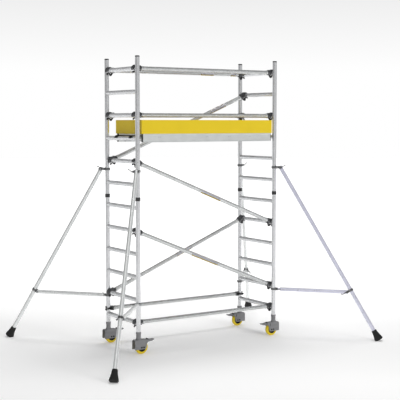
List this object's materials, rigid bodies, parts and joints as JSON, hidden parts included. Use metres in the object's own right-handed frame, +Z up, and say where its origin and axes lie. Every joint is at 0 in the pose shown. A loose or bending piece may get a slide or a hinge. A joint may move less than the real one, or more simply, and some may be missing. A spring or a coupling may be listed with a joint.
{
  "type": "mobile scaffold tower",
  "caption": "Mobile aluminium access tower with ladder end frames, hooked braces, a trapdoor platform with toe boards, braked swivel casters and folding stabilisers.",
  "frame": {"origin": "on the floor, under the middle of the four uprights", "axes": "+X along the bay and the platform, +Y across the bay towards the back, +Z up"},
  "size_m": [3.5644, 2.6496, 3.225],
  "materials": {
    "frame_aluminium": "bare extruded tube, fine draw lines, light scuffs",
    "brace_aluminium": "bare ribbed extrusion, light scuffs",
    "stabiliser_aluminium": "bare extruded tube, light scuffs",
    "platform_aluminium": "mill finish extrusion",
    "claw_casting": "black coated casting, worn at the mouth",
    "trigger_plastic": "moulded black nylon",
    "black_plastic": "moulded black plastic",
    "bracket_metal": "dark grey cast aluminium clamps",
    "toe_board_yellow": "yellow painted board, satin",
    "deck_plywood": "phenolic faced plywood with mesh pattern",
    "hinge_steel": "zinc plated",
    "lock_steel": "zinc plated",
    "caster_grey": "grey moulded nylon",
    "hub_plastic": "dark moulded nylon",
    "tyre_yellow": "yellow polyurethane tread",
    "foot_rubber": "moulded black rubber"
  },
  "bodies": {
    "root": {"base_uprights": "frame_aluminium", "top_uprights": "frame_aluminium", "base_rungs": "frame_aluminium", "top_rungs": "frame_aluminium", "joint_collars": "black_plastic", "joint_spigots": "frame_aluminium", "guardrail_tubes": "brace_aluminium", "diagonal_brace_tubes": "brace_aluminium", "base_brace_tubes": "brace_aluminium", "brace_claws": "claw_casting", "brace_triggers": "trigger_plastic", "platform_side_beams": "platform_aluminium", "platform_cross_members": "platform_aluminium", "deck_panels": "deck_plywood", "platform_hook_bars": "platform_aluminium", "toe_boards": "toe_board_yellow", "deck_hinge_leaf": "hinge_steel", "caster_sleeves": "caster_grey", "end_caps": "black_plastic"},
    "hatch": {"hatch_panel": "deck_plywood", "hatch_hinge_leaf": "hinge_steel"},
    "hatch_catch": {"hatch_catch": "black_plastic"},
    "wind_lock_left": {"wind_lock_left": "lock_steel"},
    "wind_lock_right": {"wind_lock_right": "lock_steel"},
    "caster_front_left_fork": {"caster_front_left_fork": "caster_grey"},
    "caster_front_left_wheel": {"caster_front_left_hub": "hub_plastic", "caster_front_left_tyre": "tyre_yellow"},
    "caster_front_left_brake": {"caster_front_left_brake": "caster_grey"},
    "stabiliser_front_left_swing": {"stabiliser_front_left_brackets": "bracket_metal"},
    "stabiliser_front_left_leg": {"stabiliser_front_left_leg": "stabiliser_aluminium", "stabiliser_front_left_foot": "foot_rubber", "stabiliser_front_left_coupler": "bracket_metal"},
    "stabiliser_front_left_arm": {"stabiliser_front_left_arm": "stabiliser_aluminium"},
    "caster_front_right_fork": {"caster_front_right_fork": "caster_grey"},
    "caster_front_right_wheel": {"caster_front_right_hub": "hub_plastic", "caster_front_right_tyre": "tyre_yellow"},
    "caster_front_right_brake": {"caster_front_right_brake": "caster_grey"},
    "stabiliser_front_right_swing": {"stabiliser_front_right_brackets": "bracket_metal"},
    "stabiliser_front_right_leg": {"stabiliser_front_right_leg": "stabiliser_aluminium", "stabiliser_front_right_foot": "foot_rubber", "stabiliser_front_right_coupler": "bracket_metal"},
    "stabiliser_front_right_arm": {"stabiliser_front_right_arm": "stabiliser_aluminium"},
    "caster_back_left_fork": {"caster_back_left_fork": "caster_grey"},
    "caster_back_left_wheel": {"caster_back_left_hub": "hub_plastic", "caster_back_left_tyre": "tyre_yellow"},
    "caster_back_left_brake": {"caster_back_left_brake": "caster_grey"},
    "stabiliser_back_left_swing": {"stabiliser_back_left_brackets": "bracket_metal"},
    "stabiliser_back_left_leg": {"stabiliser_back_left_leg": "stabiliser_aluminium", "stabiliser_back_left_foot": "foot_rubber", "stabiliser_back_left_coupler": "bracket_metal"},
    "stabiliser_back_left_arm": {"stabiliser_back_left_arm": "stabiliser_aluminium"},
    "caster_back_right_fork": {"caster_back_right_fork": "caster_grey"},
    "caster_back_right_wheel": {"caster_back_right_hub": "hub_plastic", "caster_back_right_tyre": "tyre_yellow"},
    "caster_back_right_brake": {"caster_back_right_brake": "caster_grey"},
    "stabiliser_back_right_swing": {"stabiliser_back_right_brackets": "bracket_metal"},
    "stabiliser_back_right_leg": {"stabiliser_back_right_leg": "stabiliser_aluminium", "stabiliser_back_right_foot": "foot_rubber", "stabiliser_back_right_coupler": "bracket_metal"},
    "stabiliser_back_right_arm": {"stabiliser_back_right_arm": "stabiliser_aluminium"}
  },
  "joints": [
    {"name": "hatch_hinge", "type": "hinge", "parent": "root", "child": "hatch", "pos_m": [-0.34, 0.182, 2.393], "axis": [-1, 0, 0], "range_deg": [0, 95]},
    {"name": "hatch_catch_turn", "type": "hinge", "parent": "hatch", "child": "hatch_catch", "pos_m": [-0.34, -0.292, 2.39], "axis": [0, 0, 1], "range_deg": [0, 90]},
    {"name": "wind_lock_left_turn", "type": "hinge", "parent": "root", "child": "wind_lock_left", "pos_m": [-0.845, -0.06, 2.31], "axis": [0, 0, 1], "range_deg": [0, 90]},
    {"name": "wind_lock_right_turn", "type": "hinge", "parent": "root", "child": "wind_lock_right", "pos_m": [0.845, -0.06, 2.31], "axis": [0, 0, -1], "range_deg": [0, 90]},
    {"name": "caster_front_left_swivel", "type": "hinge", "parent": "root", "child": "caster_front_left_fork", "pos_m": [-0.92, -0.344, 0.16], "axis": [0, 0, 1], "continuous": true},
    {"name": "caster_front_left_roll", "type": "hinge", "parent": "caster_front_left_fork", "child": "caster_front_left_wheel", "pos_m": [-0.885, -0.344, 0.075], "axis": [0, 1, 0], "continuous": true},
    {"name": "caster_front_left_brake_press", "type": "hinge", "parent": "caster_front_left_fork", "child": "caster_front_left_brake", "pos_m": [-0.828, -0.344, 0.143], "axis": [0, 1, 0], "range_deg": [0, 10]},
    {"name": "stabiliser_front_left_swing_turn", "type": "hinge", "parent": "root", "child": "stabiliser_front_left_swing", "pos_m": [-0.92, -0.344, 1.99], "axis": [0, 0, 1], "range_deg": [-36, 36]},
    {"name": "stabiliser_front_left_leg_spread", "type": "hinge", "parent": "stabiliser_front_left_swing", "child": "stabiliser_front_left_leg", "pos_m": [-0.9693, -0.40052, 1.99], "axis": [-0.7536, 0.6574, 0], "range_deg": [0, 25]},
    {"name": "stabiliser_front_left_arm_fold", "type": "hinge", "parent": "stabiliser_front_left_leg", "child": "stabiliser_front_left_arm", "pos_m": [-1.49169, -0.99934, 0.552], "axis": [0.7536, -0.6574, 0], "range_deg": [0, 58]},
    {"name": "caster_front_right_swivel", "type": "hinge", "parent": "root", "child": "caster_front_right_fork", "pos_m": [0.92, -0.344, 0.16], "axis": [0, 0, 1], "continuous": true},
    {"name": "caster_front_right_roll", "type": "hinge", "parent": "caster_front_right_fork", "child": "caster_front_right_wheel", "pos_m": [0.885, -0.344, 0.075], "axis": [0, 1, 0], "continuous": true},
    {"name": "caster_front_right_brake_press", "type": "hinge", "parent": "caster_front_right_fork", "child": "caster_front_right_brake", "pos_m": [0.828, -0.344, 0.143], "axis": [0, -1, 0], "range_deg": [0, 10]},
    {"name": "stabiliser_front_right_swing_turn", "type": "hinge", "parent": "root", "child": "stabiliser_front_right_swing", "pos_m": [0.92, -0.344, 1.99], "axis": [0, 0, 1], "range_deg": [-36, 36]},
    {"name": "stabiliser_front_right_leg_spread", "type": "hinge", "parent": "stabiliser_front_right_swing", "child": "stabiliser_front_right_leg", "pos_m": [0.9693, -0.40052, 1.99], "axis": [-0.7536, -0.6574, 0], "range_deg": [0, 25]},
    {"name": "stabiliser_front_right_arm_fold", "type": "hinge", "parent": "stabiliser_front_right_leg", "child": "stabiliser_front_right_arm", "pos_m": [1.49169, -0.99934, 0.552], "axis": [0.7536, 0.6574, 0], "range_deg": [0, 58]},
    {"name": "caster_back_left_swivel", "type": "hinge", "parent": "root", "child": "caster_back_left_fork", "pos_m": [-0.92, 0.344, 0.16], "axis": [0, 0, 1], "continuous": true},
    {"name": "caster_back_left_roll", "type": "hinge", "parent": "caster_back_left_fork", "child": "caster_back_left_wheel", "pos_m": [-0.885, 0.344, 0.075], "axis": [0, 1, 0], "continuous": true},
    {"name": "caster_back_left_brake_press", "type": "hinge", "parent": "caster_back_left_fork", "child": "caster_back_left_brake", "pos_m": [-0.828, 0.344, 0.143], "axis": [0, 1, 0], "range_deg": [0, 10]},
    {"name": "stabiliser_back_left_swing_turn", "type": "hinge", "parent": "root", "child": "stabiliser_back_left_swing", "pos_m": [-0.92, 0.344, 1.99], "axis": [0, 0, 1], "range_deg": [-36, 36]},
    {"name": "stabiliser_back_left_leg_spread", "type": "hinge", "parent": "stabiliser_back_left_swing", "child": "stabiliser_back_left_leg", "pos_m": [-0.9693, 0.40052, 1.99], "axis": [0.7536, 0.6574, 0], "range_deg": [0, 25]},
    {"name": "stabiliser_back_left_arm_fold", "type": "hinge", "parent": "stabiliser_back_left_leg", "child": "stabiliser_back_left_arm", "pos_m": [-1.49169, 0.99934, 0.552], "axis": [-0.7536, -0.6574, 0], "range_deg": [0, 58]},
    {"name": "caster_back_right_swivel", "type": "hinge", "parent": "root", "child": "caster_back_right_fork", "pos_m": [0.92, 0.344, 0.16], "axis": [0, 0, 1], "continuous": true},
    {"name": "caster_back_right_roll", "type": "hinge", "parent": "caster_back_right_fork", "child": "caster_back_right_wheel", "pos_m": [0.885, 0.344, 0.075], "axis": [0, 1, 0], "continuous": true},
    {"name": "caster_back_right_brake_press", "type": "hinge", "parent": "caster_back_right_fork", "child": "caster_back_right_brake", "pos_m": [0.828, 0.344, 0.143], "axis": [0, -1, 0], "range_deg": [0, 10]},
    {"name": "stabiliser_back_right_swing_turn", "type": "hinge", "parent": "root", "child": "stabiliser_back_right_swing", "pos_m": [0.92, 0.344, 1.99], "axis": [0, 0, 1], "range_deg": [-36, 36]},
    {"name": "stabiliser_back_right_leg_spread", "type": "hinge", "parent": "stabiliser_back_right_swing", "child": "stabiliser_back_right_leg", "pos_m": [0.9693, 0.40052, 1.99], "axis": [0.7536, -0.6574, 0], "range_deg": [0, 25]},
    {"name": "stabiliser_back_right_arm_fold", "type": "hinge", "parent": "stabiliser_back_right_leg", "child": "stabiliser_back_right_arm", "pos_m": [1.49169, 0.99934, 0.552], "axis": [-0.7536, 0.6574, 0], "range_deg": [0, 58]}
  ]
}
